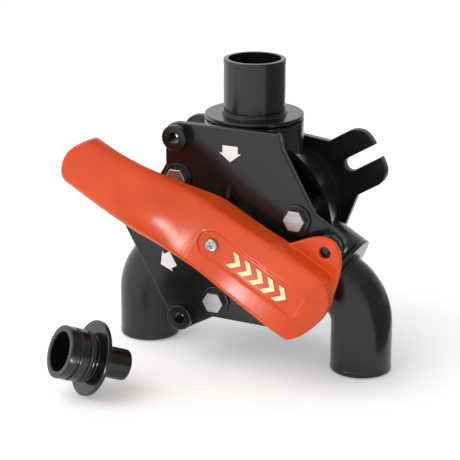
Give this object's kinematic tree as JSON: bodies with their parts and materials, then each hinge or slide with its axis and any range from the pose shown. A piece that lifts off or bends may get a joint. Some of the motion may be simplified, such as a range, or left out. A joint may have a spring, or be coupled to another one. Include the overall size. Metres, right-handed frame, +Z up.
{
  "type": "three-way diverter valve",
  "caption": "Marine Y diverter valve with three hose tails, a padlockable lever that turns an internal gate, a slotted wall bracket and a loose plug-in reducer.",
  "frame": {"origin": "where the lever's axis meets the bracket's flat back face", "axes": "+Z up along the inlet, +Y into the wall along the lever's axis, +X to the right seen from the lever's side"},
  "size_m": [0.186, 0.1746, 0.1898],
  "materials": {
    "black_plastic": "semi-gloss moulded",
    "bracket_plastic": "matt moulded",
    "orange_plastic": "semi-gloss moulded",
    "cream_print": "raised and inked",
    "white_plastic": "inlaid",
    "stainless": "satin",
    "brass": "turned",
    "seal_rubber": "moulded",
    "bearing_plastic": "turned",
    "rotor_plastic": "moulded"
  },
  "bodies": {
    "valve_body": {"mounting_bracket": "bracket_plastic", "bracket_screws": "stainless", "rear_housing": "bracket_plastic", "rear_bush": "bearing_plastic", "cover_seal": "seal_rubber", "front_cover": "black_plastic", "front_bush": "bearing_plastic", "flow_arrows": "white_plastic", "cover_bolts": "stainless", "threaded_inserts": "brass", "inlet_spigot": "black_plastic", "inlet_seal": "seal_rubber"},
    "lever": {"handle": "orange_plastic", "handle_screw": "stainless", "handle_marks": "cream_print", "drive_shaft": "stainless", "shaft_seals": "seal_rubber", "rotor": "rotor_plastic", "gate_seal": "seal_rubber"},
    "left_outlet": {"left_elbow": "black_plastic", "left_elbow_seal": "seal_rubber"},
    "right_outlet": {"right_elbow": "black_plastic", "right_elbow_seal": "seal_rubber"},
    "loose_reducer": {"reducer": "black_plastic", "reducer_seal": "seal_rubber"}
  },
  "joints": [
    {"name": "lever_turn", "type": "hinge", "parent": "valve_body", "child": "lever", "pos_m": [0, -0.042, 0], "axis": [0, 1, 0], "range_deg": [-120, 120]},
    {"name": "left_outlet_swivel", "type": "hinge", "parent": "valve_body", "child": "left_outlet", "pos_m": [0, -0.042, 0], "axis": [-0.866, 0, -0.5], "range_deg": [-25, 25]},
    {"name": "right_outlet_swivel", "type": "hinge", "parent": "valve_body", "child": "right_outlet", "pos_m": [0, -0.042, 0], "axis": [0.866, 0, -0.5], "range_deg": [-25, 25]},
    {"name": "reducer_lift", "type": "slide", "parent": "valve_body", "child": "loose_reducer", "axis": [0, 0, 1], "range_m": [0, 0.06]}
  ]
}
